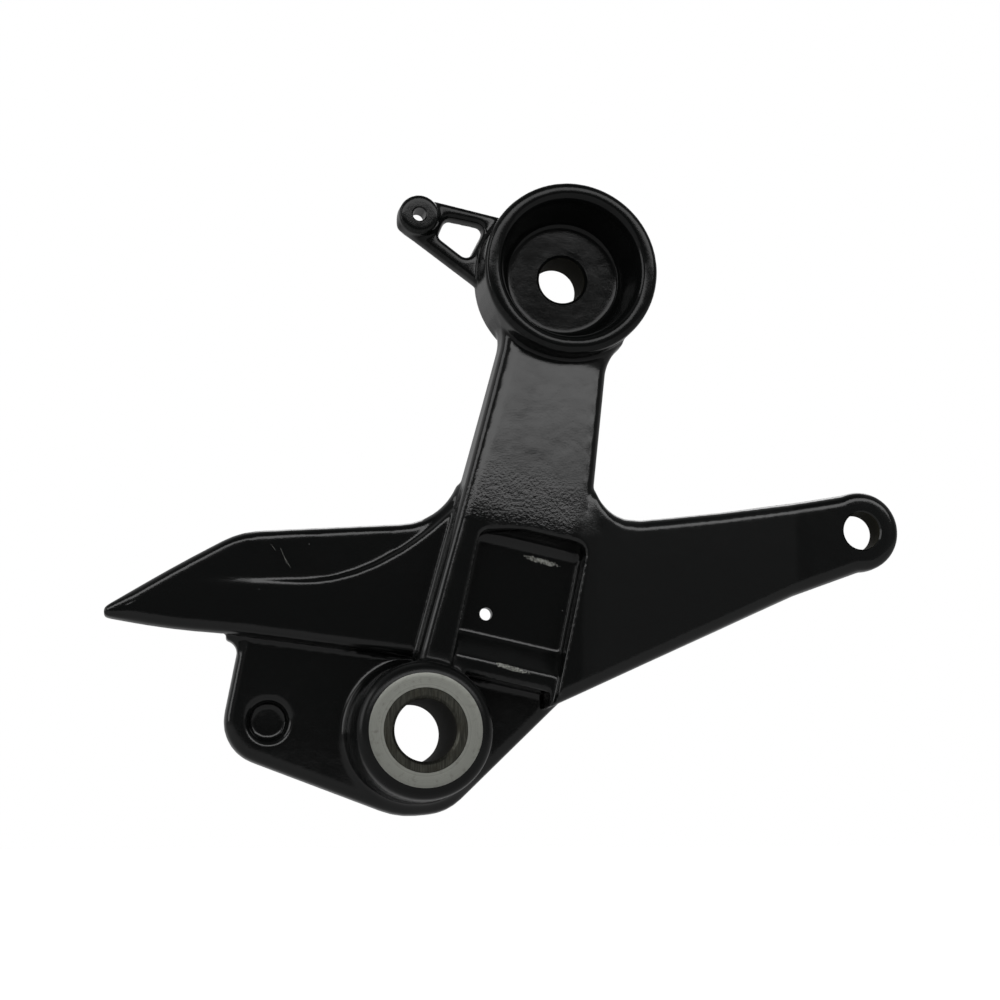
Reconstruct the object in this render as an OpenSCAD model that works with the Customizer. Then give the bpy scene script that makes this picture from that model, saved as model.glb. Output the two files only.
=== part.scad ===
// Motorcycle footrest hanger: a cast aluminium bracket and the steel bush pressed into its pivot boss.
// The hanger is drawn flat, x to the right, y up and z towards the viewer, and stood upright at the end,
// with its origin in the middle of the pivot bore.
// Every level is a z, measured from the machined face of the pivot boss, so a level behind it is negative.

/* [Pivot boss] */
// Bore of the bush
bore_d = 17; // [14:0.5:19]
// Outside of the bush, and its seat in the boss
bush_d = 23; // [22:0.5:26]
// Chamfer at both mouths of the bush
bush_chamfer = 0.8; // [0.3:0.1:1.2]
// Machined bare face of the boss
face_d = 31; // [28.5:0.5:34]
// Boss below its rounded shoulder
boss_d = 38; // [36.5:0.5:41]
// Height of the rounded shoulder
shoulder = 3.6; // [2:0.2:5]
// Length of the boss and of the bush
boss_length = 36.5; // [33:0.5:42]

/* [Upper cup] */
// Cup centre, to the right of the pivot
cup_x = 42; // [39:0.1:46]
// Cup centre, above the pivot
cup_y = 132; // [127:0.5:140]
// Outside of the cup at its rim
cup_d = 50.4; // [48:0.2:54]
// Mouth of the cup
cup_mouth_d = 42; // [38:0.5:44]
// Flat floor of the cup
cup_floor_d = 34.5; // [28:0.5:36]
// Depth of the cup
cup_depth = 15; // [12:0.5:18]
// Thickness of the cup's floor
cup_floor = 15; // [10:0.5:18]
// Level of the cup's rim
cup_level = -4; // [-6:0.5:-2]
// Bolt hole through the floor
cup_bolt_d = 13.5; // [10.5:0.5:16]

/* [Neck and footrest block] */
// Lean of the neck, clockwise from upright
neck_lean = 12; // [10:0.5:14]
// Width of the footrest block
block_w = 41; // [39:0.5:43]
// Width of the neck where it meets the cup
neck_w = 32.4; // [29:0.2:35]
// Level of the block's front face
block_level = -7; // [-9:0.25:-5]
// Level of the neck's front face at the cup
neck_level = -11; // [-13:0.25:-9]
// Level of the back of the neck, block, wing and rear arm
back_level = -25; // [-27:0.25:-23]
// Front edge rounding of the neck and block
edge_r = 3; // [1.5:0.1:3.6]

/* [Footrest pocket] */
// Width of the pocket
pocket_w = 30.7; // [27:0.1:32]
// Wall between the pocket and the left side of the block
pocket_wall = 9.8; // [8.5:0.1:11]
// Level of the pocket's floor
pocket_level = -15; // [-17:0.25:-13]
// Level of the beam below the pocket
beam_level = -9.5; // [-11:0.25:-8]
// Width of the beam's front face
beam_w = 4.6; // [3.5:0.1:6]
// Length of the pocket's flat floor
pocket_floor_l = 26.5; // [22:0.5:28]
// Foot of the beam's slope, along the pocket
beam_slope = 7.25; // [6:0.25:9]
// Drain hole through the pocket's floor
drain_d = 3.6; // [2.5:0.1:5]

/* [Rear arm and lug] */
// Lug centre, to the right of the pivot
lug_x = 130.9; // [122:0.1:140]
// Lug centre, above the pivot
lug_y = 59.6; // [54:0.1:64]
// Outside of the lug
lug_d = 23.6; // [21:0.1:27]
// Bolt hole through the lug
lug_bolt_d = 11; // [8.5:0.5:13]
// Level of the lug's front face
lug_level = -16; // [-18:0.25:-13]

/* [Wing] */
// Wing tip, to the left of the pivot
wing_reach = 87; // [80:0.5:94]
// Wing tip, above the pivot
wing_tip_y = 30.9; // [29:0.1:34]
// Level of the wing's front face
wing_level = -16; // [-17.5:0.25:-14]
// Drop of the upper face behind the ridge line, at the neck
ridge_drop = 1.4; // [0.6:0.1:2]

/* [Lower plate] */
// Level of the plate's front face
plate_level = -21.6; // [-23:0.2:-19]
// Thickness of the plate
plate_t = 8.4; // [7:0.2:10]
// Rim of the plate around the pivot
plate_rim_r = 23.5; // [22.5:0.25:26]
// Blind hole, to the left of the pivot
blind_x = 41.2; // [39:0.2:43]
// Blind hole, above the pivot
blind_y = 3; // [0:0.2:6]
// Blind hole at its flat bottom
blind_d = 10.6; // [8:0.2:12]
// Depth of the blind hole
blind_depth = 4; // [2:0.25:5]

/* [Cable ear] */
// Ear boss, to the left of the cup centre
ear_dx = 42.4; // [40:0.1:45]
// Ear boss, above the cup centre
ear_dy = 17.3; // [15:0.1:19]
// Ear boss
ear_d = 12; // [10:0.2:13]
// Hole in the ear boss
ear_hole_d = 3.9; // [3:0.1:5.5]
// Level of the ear's plate
ear_level = -19.5; // [-21:0.25:-18]
// Thickness of the ear's plate
ear_t = 5; // [4.5:0.25:6.5]
// Height of the ear boss over its plate
ear_boss_h = 2.5; // [1.5:0.25:4]

/* [Hidden] */
$fn = 96;

paint = "#1c1d1f";
bush_steel = "#4c4c46";

// Small overlap that carries a cut past a face
over = 1;
// Steps in a rounded edge
edge_steps = 3;
// Sideways draft from the parting level to a back edge
back_draft = 0.8;
// Level of the parting line
parting_level = back_level + 5;

cup = [cup_x, cup_y];
lug = [lug_x, lug_y];
cup_back_level = cup_level - cup_depth - cup_floor;
ear = cup + [-ear_dx, ear_dy];

// The block's own frame leans with the neck and has its origin at the pivot
block_foot = 18.4;
block_right = 35.3;
block_left = block_right - block_w;
block_top = 64;
cup_up = cup_x * sin(neck_lean) + cup_y * cos(neck_lean);
neck_mid = cup_x * cos(neck_lean) - cup_y * sin(neck_lean) + 1.3;
neck_top = cup_up - cup_d / 2;
// Fillet between each side of the neck and the round of the cup, and where it starts and ends
neck_fillet = 15.5;
// Hollow of the neck's left side, deepest just below the cup
neck_waist = 0.6;
neck_fillet_y = cup_up - sqrt(pow(cup_d / 2 + neck_fillet, 2) - pow(neck_w / 2 + neck_fillet, 2));
neck_fillet_h = (cup_up - neck_fillet_y) * neck_fillet / (cup_d / 2 + neck_fillet);

pocket_left = block_left + pocket_wall;
// Drain hole, in the block's frame
drain = [11.6, 36.4];
pocket_foot = block_foot + beam_w;
pocket_floor_0 = pocket_foot + beam_slope;
pocket_floor_1 = pocket_floor_0 + pocket_floor_l;
// Run of the hollow wall at the top of the pocket, and bow of its upper edge between the two sides
pocket_lip = 4.4;
pocket_bow_r = 52;
// The pocket is cut this far past the foot of the block, so the beam runs on to the arm's lower edge
pocket_reach = 5;

function lerp(a, b, t) = a + (b - a) * t;
function clamp01(t) = min(1, max(0, t));
function smooth(t) = let (c = clamp01(t)) c * c * (3 - 2 * c);
// The lower of two lines, rounded over the distance k where they cross
function soft_min(a, b, k) =
    let (h = clamp01(0.5 + 0.5 * (b - a) / k))
    lerp(b, a, h) - k * h * (1 - h);
function along(p, q, x) = lerp(p.y, q.y, (x - p.x) / (q.x - p.x));
// Height of a fillet of radius r at the distance x from the wall that it runs into
function fillet_rise(r, x) = x >= r ? 0 : r - sqrt(r * r - (r - x) * (r - x));
function unit(v) = v / norm(v);

// Quarter of an ellipse, from a side wall to a front face
function edge_curve(run, drop) = [
    for (i = [0:edge_steps])
        let (a = 90 * i / edge_steps)
        [run * (1 - cos(a)), -drop * (1 - sin(a))]
];

// Section of a limb: [across, level] pairs around a bar with drafted sides and rounded front edges
function limb_section(low, high, front_low, front_high, edge_low, edge_high, middle = []) = concat(
    [[low + back_draft, back_level], [low, parting_level]],
    [for (p = edge_curve(edge_low, min(edge_low, 3))) [low + 0.3 + p.x, front_low + p.y]],
    middle,
    [
        for (i = [edge_steps:-1:0])
            let (p = edge_curve(edge_high, min(edge_high, 3))[i])
            [high - 0.3 - p.x, front_high + p.y]
    ],
    [[high, parting_level], [high - back_draft, back_level]]
);

// Skin over a row of sections that have the same number of points, closed by its two ends.
// Sections that run anticlockwise, seen from beyond the last one, need the other sense of the faces.
module loft(sections, anticlockwise = false) {
    n = len(sections[0]);
    rows = len(sections);
    sides = [
        for (i = [0:rows - 2], j = [0:n - 1])
            let (a = i * n + j, b = i * n + (j + 1) % n)
            each [[a, b, b + n], [a, b + n, a + n]]
    ];
    ends = [
        [for (j = [n - 1:-1:0]) j],
        [for (j = [0:n - 1]) (rows - 1) * n + j]
    ];
    faces = concat(sides, ends);
    polyhedron(
        [for (s = sections) each s],
        anticlockwise ? [for (f = faces) [for (k = [len(f) - 1:-1:0]) f[k]]] : faces,
        convexity = 6
    );
}

// Points of a closed outline given as [x, y, radius] corners, each corner rounded by an arc
function rounded(corners) = [
    for (i = [0:len(corners) - 1])
        let (
            n = len(corners),
            c = corners[i],
            at = [c.x, c.y],
            u = unit([for (k = [0:1]) corners[(i + n - 1) % n][k] - c[k]]),
            v = unit([for (k = [0:1]) corners[(i + 1) % n][k] - c[k]]),
            half = acos(max(-1, min(1, u * v))) / 2,
            centre = at + unit(u + v) * c[2] / sin(half),
            start = at + u * c[2] / tan(half) - centre,
            turn = (u.x * v.y - u.y * v.x < 0 ? 1 : -1) * (180 - 2 * half),
            steps = max(1, ceil(abs(turn) / 12))
        )
        each [
            for (k = [0:steps])
                let (a = turn * k / steps)
                centre + [start.x * cos(a) - start.y * sin(a), start.x * sin(a) + start.y * cos(a)]
        ]
];

// The same outline moved inwards by d; the outline runs anticlockwise
function inset(path, d) = [
    for (i = [0:len(path) - 1])
        let (
            n = len(path),
            u = unit(path[i] - path[(i + n - 1) % n]),
            v = unit(path[(i + 1) % n] - path[i]),
            m = unit([-u.y - v.y, u.x + v.x])
        )
        path[i] + m * d / max(0.5, m * [-v.y, v.x])
];

// Plate of a rounded outline with a drafted side and a rounded front edge
module soft_plate(corners, back, front, edge, draft = 0.5) {
    path = rounded(corners);
    rings = concat(
        [[draft, back], [0, lerp(back, front, 0.4)]],
        [for (p = edge_curve(edge, edge)) [0.25 + p.x, front + p.y]]
    );
    loft([for (r = rings) [for (p = inset(path, r[0])) [p.x, p.y, r[1]]]], anticlockwise = true);
}

// Cored recess in the back, as deep as the level given, with drafted walls
module back_cell(corners, floor_level, mouth_level = back_level) {
    path = rounded(corners);
    rings = [[-0.2, mouth_level - over], [0.6, floor_level - 1], [1.4, floor_level]];
    loft([for (r = rings) [for (p = inset(path, r[0])) [p.x, p.y, r[1]]]], anticlockwise = true);
}

module in_block_frame() {
    rotate(-neck_lean)
        children();
}

// Neck and footrest block: one bar with straight sides that flare into the cup
function neck_flare(y) =
    fillet_rise(neck_fillet, neck_fillet - min(neck_fillet_h, max(0, y - neck_fillet_y)));
function bar_left(y) =
    let (t = clamp01((y - block_foot) / (neck_top - block_foot)))
    lerp(block_left, neck_mid - neck_w / 2, t) + neck_waist * smooth(t) - neck_flare(y);
function bar_right(y) =
    lerp(block_right, neck_mid + neck_w / 2, clamp01((y - block_top) / (neck_top - block_top)))
    + neck_flare(y);
function bar_front(y) = lerp(block_level, neck_level, clamp01((y - block_top) / (neck_top - block_top)));
bar_stations = concat(
    [block_foot, 30, 44, block_top - 1.5, block_top + 1.5, 80, 96],
    [for (t = [0:0.25:1]) neck_fillet_y + t * neck_fillet_h],
    [cup_up - 10]
);

module neck_and_block() {
    in_block_frame()
        loft([
            for (y = bar_stations)
                let (widen = smooth((y - block_top) / (neck_top - block_top)))
                [
                    for (p = limb_section(bar_left(y), bar_right(y), bar_front(y), bar_front(y),
                                          edge_r + 1.4 * widen, edge_r))
                        [p.x, y, p.y]
                ]
        ], anticlockwise = true);
}

// Recess that takes the footrest: a hollow top wall, a flat floor and a slope up to the beam
module footrest_pocket() {
    start = block_foot - pocket_reach;
    right = pocket_left + pocket_w;
    corner = 3;
    bow_x = right - 0.36 * pocket_w;
    top = pocket_floor_1 + pocket_lip;
    profile = concat(
        [[start, over], [start, beam_level], [pocket_foot, beam_level], [pocket_floor_0, pocket_level]],
        [
            for (a = [0, 24, 46, 68, 90])
                [pocket_floor_1 + pocket_lip * sin(a), lerp(pocket_level, block_level, 1 - cos(a))]
        ],
        [[top, over]]
    );
    function bow(x) = top + 0.4 - (x - bow_x) * (x - bow_x) / (2 * pocket_bow_r);
    plan = concat(
        [[pocket_left, start], [right, start], [right, bow(right) - corner]],
        [for (a = [15:30:75]) [right - corner * (1 - cos(a)), bow(right - corner) - corner * (1 - sin(a))]],
        [for (t = [0:0.125:1]) let (x = lerp(right - corner, pocket_left + corner, t)) [x, bow(x)]],
        [
            for (a = [75:-30:15])
                [pocket_left + corner * (1 - cos(a)), bow(pocket_left + corner) - corner * (1 - sin(a))]
        ],
        [[pocket_left, bow(pocket_left) - corner]]
    );
    intersection() {
        translate([pocket_left - over, 0, 0])
            rotate([90, 0, 90])
            linear_extrude(pocket_w + 2 * over)
            polygon(profile);
        translate([0, 0, pocket_level - over])
            linear_extrude(over - pocket_level + 2 * over)
            polygon(plan);
    }
}

// Rear arm: a tapered limb from the block to the lug, with a fillet up the side of the neck
arm_foot = [39.5, 8.1];
arm_corner = [48.8, 59];
arm_fillet = 14;
arm_start_x = 36;
arm_flat_x = 46;
lug_r = lug_d / 2;
lug_start = [lug_x - 20.5, lug_y - 19.4];
lug_end_x = lug_x + 3;
// The upper edge bows a little downwards between the block and the lug
arm_bow_high = 0.8;
// The foot of the fillet reaches this far into the neck, so no groove is left beside the neck's rounded edge
arm_overlap = 4;
function arm_bow(x) = sin(180 * clamp01((x - arm_corner.x) / (lug_x - arm_corner.x)));
// Half width of the arm around the lug: a little more than the lug up to its centre, a little less beyond
function lug_half(x) =
    let (beyond = max(0, x - lug_x))
    sqrt(lug_r * lug_r - beyond * beyond) + 0.12 - 0.08 * beyond;
function arm_low(x) =
    x < lug_start.x ? along(arm_foot, lug_start, x)
    : x < lug_x ? along(lug_start, [lug_x, lug_y - lug_half(lug_x)], x)
    : lug_y - lug_half(x);
function arm_top(x) =
    min(along(arm_corner, [lug_x - 2, lug_y + lug_r - 0.25], x) - arm_bow_high * arm_bow(x),
        lug_y + lug_half(x));
function arm_high(x) =
    arm_top(x)
    + (x < arm_corner.x - arm_overlap ? 0 : fillet_rise(arm_fillet, max(0.6, x - arm_corner.x - 0.1)));
function arm_front(x) =
    x < arm_flat_x
    ? block_level + 0.01 * (arm_flat_x - 4 - x)
    : lerp(block_level - 0.04, lug_level, clamp01((x - arm_flat_x) / (lug_start.x - arm_flat_x)));
// The arm's front leans back with the neck where the fillet climbs beside it
function arm_front_high(x) =
    min(arm_front(x), bar_front(x * sin(neck_lean) + arm_high(x) * cos(neck_lean)) - 0.05);
arm_stations = concat(
    [arm_start_x, arm_flat_x - 4],
    [for (t = [-arm_overlap - 0.01, -arm_overlap, 0.7, 1.4, 2.2, 3.2, 4.6, 6.6, 9.4, 14.1]) arm_corner.x + t],
    [72, 88, lug_start.x, lug_x - 12, lug_x - 5, lug_x - 2, lug_x, lug_end_x]
);

module rear_arm() {
    loft([
        for (x = arm_stations)
            [
                for (p = limb_section(arm_low(x), arm_high(x), arm_front(x), arm_front_high(x), edge_r, edge_r,
                                      [[arm_top(x) - edge_r - 1, arm_front(x)]]))
                    [x, p.x, p.y]
            ]
    ]);
}

// Round boss or lug with a rounded front edge
module round_pad(d, back, front, edge, draft = 0.4) {
    r = d / 2;
    rotate_extrude()
        polygon(concat(
            [[0, back], [r - draft, back], [r, lerp(back, front, 0.4)]],
            [for (p = edge_curve(edge, edge)) [r - 0.1 - p.x, front + p.y]],
            [[0, front]]
        ));
}

// Wing: a blade from its tip to the block, with a thin curved ridge line on its face
wing_tip = [-wing_reach, wing_tip_y];
wing_shoulder = [-50, 55.6];
wing_root_high = [8.9, 59.9];
wing_root_low = [12, 19.4];
ridge_from = [-34, 41.3];
ridge_curve = 0.0113;
wing_fillet = 17;
// Place of the fillet's upright wall, past the end of the wing's upper edge
wing_wall = 3.6;
// Bow of the wing's two outer edges, and the round of its tip
wing_bow_low = 0.7;
wing_bow_high = 0.5;
wing_tip_r = 1.2;
function wing_bow(x, length) = sin(180 * clamp01((x - wing_tip.x) / length));
function wing_round(x) = fillet_rise(wing_tip_r, x - wing_tip.x);
function wing_low(x) =
    along(wing_tip, wing_root_low, x) - wing_bow_low * wing_bow(x, 36) + wing_round(x);
function wing_high(x) =
    soft_min(along(wing_tip + [0, 2.8], wing_shoulder, x), along(wing_shoulder, wing_root_high, x), 2.5)
    + wing_bow_high * wing_bow(x, wing_shoulder.x - wing_tip.x)
    + fillet_rise(wing_fillet, max(1.2, wing_root_high.x + wing_wall - x))
    - wing_round(x);
function ridge_y(x) = ridge_from.y + ridge_curve * pow(max(0, x - ridge_from.x), 2);
function ridge_step(x) = ridge_drop * smooth((x - wing_tip.x - 20) / 75);
wing_stations = concat(
    [for (t = [0.2, 0.6, 1.3, 4, 8, 12, 18, 24, 32, 35, 38, 42, 50]) wing_tip.x + t],
    [for (x = [-30:6:-8]) x],
    [for (t = [17.5, 14, 11, 8, 6, 4.2, 2.8, 1.8, 1.2, -1]) wing_root_high.x + wing_wall - t]
);

module wing() {
    loft([
        for (x = wing_stations)
            let (
                low = wing_low(x),
                high = wing_high(x),
                wide = high - low,
                edge = min(2.2, 0.25 * wide),
                step = min(0.5, 0.1 * wide),
                ridge = max(low + edge + 0.4, min(ridge_y(x), high - edge - step - 0.4)),
                drop = ridge_step(x)
            )
            [
                for (p = limb_section(low, high, wing_level, wing_level - drop, edge, edge,
                                      [[ridge, wing_level], [ridge + step, wing_level - drop]]))
                    [x, p.x, p.y]
            ]
    ]);
}

plate_corners = [
    [-48.5, 31, 3.4],
    [-55, -4.8, 12.2],
    [-4.5, -plate_rim_r, plate_rim_r - 1],
    [9.5, -plate_rim_r + 1.2, plate_rim_r - 8],
    [arm_foot.x + 4.5, arm_foot.y + 2.8, 3.4],
    [arm_foot.x + 4.5, 26, 3.4]
];

// Inner corner between the wing's lower edge and the left side of the plate
inner_corner = [-49.6, 25.6];
inner_fillet = 3.6;

module lower_plate() {
    soft_plate(plate_corners, plate_level - plate_t, plate_level, 2.4);
    translate([0, 0, plate_level - plate_t + 1.5])
        linear_extrude(plate_t - 2.5)
        difference() {
            translate(inner_corner - [inner_fillet, inner_fillet])
                square([inner_fillet + 1.2, inner_fillet + 2.4]);
            translate(inner_corner - [inner_fillet + 0.4, inner_fillet])
                circle(inner_fillet);
        }
}

module pivot_boss() {
    r = boss_d / 2;
    base_r = r + 0.8;
    rotate_extrude()
        polygon(concat(
            [[0, -boss_length], [r - 1.2, -boss_length], [r - 0.4, -boss_length + 0.8]],
            [[base_r, plate_level - plate_t + 1], [base_r + 1.6, plate_level - 0.5]],
            [[base_r, plate_level + 1.4]],
            [for (i = [0:edge_steps])
                let (a = 90 * i / edge_steps)
                [face_d / 2 + (r - face_d / 2) * cos(a), -shoulder + shoulder * sin(a)]],
            [[0, 0]]
        ));
}

module cup_body() {
    r = cup_d / 2;
    rim_edge = 1.6;
    back_r = r - 2.6;
    rotate_extrude()
        polygon(concat(
            [[0, cup_back_level], [back_r - 1, cup_back_level], [back_r, cup_back_level + 1]],
            [[r - 0.2, cup_level - 22]],
            [for (p = edge_curve(rim_edge, rim_edge)) [r - p.x, cup_level + p.y]],
            [[0, cup_level]]
        ));
}

module cup_hollow() {
    mouth = cup_mouth_d / 2;
    floor_r = cup_floor_d / 2;
    floor_z = cup_level - cup_depth;
    rotate_extrude()
        polygon([
            [0, floor_z],
            [floor_r - 1, floor_z],
            [floor_r, floor_z + 1],
            [mouth - 1.4, cup_level - 3.2],
            [mouth - 0.9, cup_level - 1.6],
            [mouth - 0.2, cup_level - 0.5],
            [mouth + 0.6, cup_level + 0.05],
            [mouth + 0.6, cup_level + over],
            [0, cup_level + over]
        ]);
}

// Ear that carries a cable clip: a small boss on a triangular web with a window
ear_back_level = ear_level - ear_t;
ear_end_r = ear_d / 2 + 0.1;

module cable_ear() {
    soft_plate([
        [ear.x - ear_end_r, ear.y + 1.22 * ear_end_r, ear_end_r - 0.1],
        [ear.x - ear_end_r, ear.y - 0.47 * ear_end_r, 2.4],
        [cup.x - 22, cup.y - 4.7, 1.8],
        [cup.x - 10, cup.y - 4.7, 1.8],
        [cup.x - 10, cup.y + 16.9, 1.8]
    ], ear_back_level, ear_level, 0.8, 0.3);
}

module ear_window() {
    path = rounded([
        [ear.x + 5.6, ear.y - 5.6, 1.6],
        [cup.x - 27.5, cup.y + 4.8, 2.2],
        [cup.x - 22, cup.y + 15.6, 2.2],
        [ear.x + 8, ear.y + 0.4, 2.2]
    ]);
    rings = [[0.4, ear_back_level - over], [0.3, ear_back_level + 1], [0, ear_level - 1], [-0.7, ear_level + 0.2]];
    loft([for (r = rings) [for (p = inset(path, r[0])) [p.x, p.y, r[1]]]], anticlockwise = true);
}

// Stands the flat drawing upright, with the middle of the pivot bore at the origin
module upright() {
    rotate([90, 0, 0])
        translate([0, 0, boss_length / 2])
        children();
}

module at(p, level = 0) {
    translate([p.x, p.y, level])
        children();
}

// Hole along z between two levels
module hole(d, low, high) {
    translate([0, 0, low])
        cylinder(d = d, h = high - low);
}

// Hole with a conical lead-in at its front mouth
module eased_hole(d, low, high, ease) {
    hole(d, low - over, high + over);
    translate([0, 0, high - ease])
        cylinder(r1 = d / 2, r2 = d / 2 + ease + over, h = ease + over);
}

module back_cells() {
    skin = 4.6;
    floor_neck = neck_level - skin;
    in_block_frame() {
        back_cell([[-0.5, 72, 2.5], [14.6, 72, 2.5], [14.9, 104, 2.5], [2.6, 104, 2.5]], floor_neck);
        back_cell([[18, 72, 2.5], [31, 72, 2.5], [28.4, 104, 2.5], [18.2, 104, 2.5]], floor_neck);
        back_cell([[pocket_left, 34, 3], [18, 34, 3], [18, 58, 3], [pocket_left + 0.5, 58, 3]],
                  pocket_level - 3.5);
        back_cell([[21.5, 34, 3], [block_right - 1, 34, 3], [block_right - 1, 58, 3], [21.5, 58, 3]],
                  pocket_level - 3.5);
    }
    back_cell([[52, 22, 2.5], [70, 30.6, 2.5], [57, 52, 2.5], [51, 52, 2.5]], -14.5);
    back_cell([[75, 33.2, 2.5], [94, 42, 2.5], [90, 58.5, 2.5], [61.5, 55.5, 2.5]], -18);
    back_cell([[-66, 36, 2], [-44, 33, 2.5], [-44, 50, 2.5], [-52, 49.5, 2.5]], wing_level - skin);
    back_cell([[-39, 33, 2.5], [-22, 33, 2.5], [-22, 52.5, 2.5], [-39, 51, 2.5]], wing_level - skin);
    back_cell([[-17, 33, 2.5], [-3.5, 33, 2.5], [0, 50, 2.5], [-17, 53, 2.5]], wing_level - skin);
}

module hanger_casting() {
    color(paint)
        upright()
        difference() {
            union() {
                difference() {
                    union() {
                        neck_and_block();
                        rear_arm();
                    }
                    in_block_frame()
                        footrest_pocket();
                }
                at(lug)
                    round_pad(lug_d, back_level, lug_level, 2.4);
                wing();
                lower_plate();
                pivot_boss();
                at(cup)
                    cup_body();
                cable_ear();
                at(ear)
                    round_pad(ear_d, ear_back_level - 0.5, ear_level + ear_boss_h, 0.8);
            }
            back_cells();
            hole(bush_d, -boss_length - over, over);
            at(cup) {
                cup_hollow();
                eased_hole(cup_bolt_d, cup_back_level, cup_level - cup_depth, 0.8);
            }
            at(lug)
                eased_hole(lug_bolt_d, back_level, lug_level, 0.5);
            at(ear)
                eased_hole(ear_hole_d, ear_back_level - 0.5, ear_level + ear_boss_h, 0.4);
            ear_window();
            at([-blind_x, blind_y])
                eased_hole(blind_d, plate_level - blind_depth + over, plate_level, 1.2);
            in_block_frame()
                at(drain)
                hole(drain_d, back_level - over, pocket_level + over);
        }
}

module pivot_bush() {
    mouth = bore_d / 2 + bush_chamfer;
    color(bush_steel)
        upright()
        translate([0, 0, -boss_length])
        rotate_extrude()
        polygon([
            [bore_d / 2, bush_chamfer],
            [mouth, 0],
            [bush_d / 2, 0],
            [bush_d / 2, boss_length],
            [mouth, boss_length],
            [bore_d / 2, boss_length - bush_chamfer]
        ]);
}

hanger_casting();
pivot_bush();
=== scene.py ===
"""Looks of a motorcycle footrest hanger: its softened, painted casting with machined bores, and its bush."""
import math

import bmesh
import bpy
import numpy as np
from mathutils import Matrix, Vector


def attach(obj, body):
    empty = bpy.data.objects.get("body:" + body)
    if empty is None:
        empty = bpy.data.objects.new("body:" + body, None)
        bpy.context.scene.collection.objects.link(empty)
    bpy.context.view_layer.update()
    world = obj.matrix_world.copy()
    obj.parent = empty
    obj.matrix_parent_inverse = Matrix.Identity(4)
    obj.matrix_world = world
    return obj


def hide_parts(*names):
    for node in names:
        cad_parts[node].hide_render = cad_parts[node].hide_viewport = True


bl_info = {
    "name": "Motorcycle footrest hanger",
    "version": (1, 0, 0),
    "blender": (4, 5, 0),
    "location": "View3D > Sidebar > Hanger",
    "description": "Builds the looks of a cast footrest hanger around its packed solids",
    "category": "Object",
}

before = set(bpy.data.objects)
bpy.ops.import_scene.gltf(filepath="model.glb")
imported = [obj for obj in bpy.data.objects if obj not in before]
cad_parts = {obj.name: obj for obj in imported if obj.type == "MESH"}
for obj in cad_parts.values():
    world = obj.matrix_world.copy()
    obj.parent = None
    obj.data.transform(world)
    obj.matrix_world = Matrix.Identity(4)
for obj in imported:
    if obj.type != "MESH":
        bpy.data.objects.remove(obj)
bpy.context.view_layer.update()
MM = 0.001

# Places on the casting in millimetres: x to the right and z up. A level is measured towards the viewer from
# the machined face of the pivot boss, which stands this far in front of the middle of the bore, the origin.
FACE = 18.25
BOSS_BACK = -36.5
CUP = (42.0, 132.0)
LUG = (130.9, 59.6)
EAR = (-0.4, 149.3)
DRAIN = (18.9, 33.2)
NECK_LEAN = math.radians(12)


def in_block(across, up):
    """Turns a place in the leaning frame of the neck into x and z, by one rotation about the pivot."""
    c, s = math.cos(NECK_LEAN), math.sin(NECK_LEAN)
    return across * c + up * s, up * c - across * s


class HangerSizes(bpy.types.PropertyGroup):
    """Sizes of the casting's soft skin and of its machined mouths."""

    grid: bpy.props.FloatProperty(
        name="Skin grid", description="Grid on which the casting's skin is rebuilt",
        default=0.5 * MM, unit="LENGTH",
    )
    rounds: bpy.props.IntProperty(
        name="Softening rounds", description="How often the skin is averaged, which sets the fillets",
        default=5, min=0,
    )
    faces_kept: bpy.props.FloatProperty(
        name="Faces kept", description="Share of the skin's faces that stay", default=0.36, min=0.05, max=1
    )
    bush_d: bpy.props.FloatProperty(
        name="Bush seat", description="Bore of the boss that the bush sits in", default=23 * MM, unit="LENGTH"
    )
    cup_bolt_d: bpy.props.FloatProperty(
        name="Cup bolt hole", description="Bore through the cup's floor", default=13.5 * MM, unit="LENGTH"
    )
    lug_bolt_d: bpy.props.FloatProperty(
        name="Lug bolt hole", description="Bore through the lug", default=11 * MM, unit="LENGTH"
    )
    ear_hole_d: bpy.props.FloatProperty(
        name="Ear hole", description="Bore through the ear's boss", default=3.9 * MM, unit="LENGTH"
    )
    drain_d: bpy.props.FloatProperty(
        name="Drain hole", description="Hole through the floor of the pocket", default=3.6 * MM, unit="LENGTH"
    )


class HangerColours(bpy.types.PropertyGroup):
    """Colours of the hanger's finishes, as linear values."""

    paint: bpy.props.FloatVectorProperty(
        name="Paint", description="Satin black paint",
        default=(0.0038, 0.0042, 0.0041), subtype="COLOR", size=3,
    )
    rubbed: bpy.props.FloatVectorProperty(
        name="Rubbed paint", description="Paint where an edge is rubbed",
        default=(0.040, 0.042, 0.040), subtype="COLOR", size=3,
    )
    metal: bpy.props.FloatVectorProperty(
        name="Bare casting", description="Machined or rubbed bare metal",
        default=(0.48, 0.49, 0.445), subtype="COLOR", size=3,
    )
    bush: bpy.props.FloatVectorProperty(
        name="Bush", description="Dark ground steel",
        default=(0.078, 0.078, 0.066), subtype="COLOR", size=3,
    )


# Colours that belong to one mark each, as linear values
# Olive painted reflection of a yellowish surface, laid on the walls of the bolt holes
BORE_OLIVE_PAINTED_REFLECTION = (0.016, 0.0145, 0.008, 1)
DUST_GREY = (0.11, 0.115, 0.11, 1)
RING_STAIN = (0.16, 0.155, 0.13, 1)
BUSH_STAIN = (0.05, 0.047, 0.036, 1)
BUSH_DUST = (0.2, 0.2, 0.19, 1)
BUSH_BORE = (0.014, 0.013, 0.010, 1)


# ---- meshes worked out with numpy ----


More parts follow.
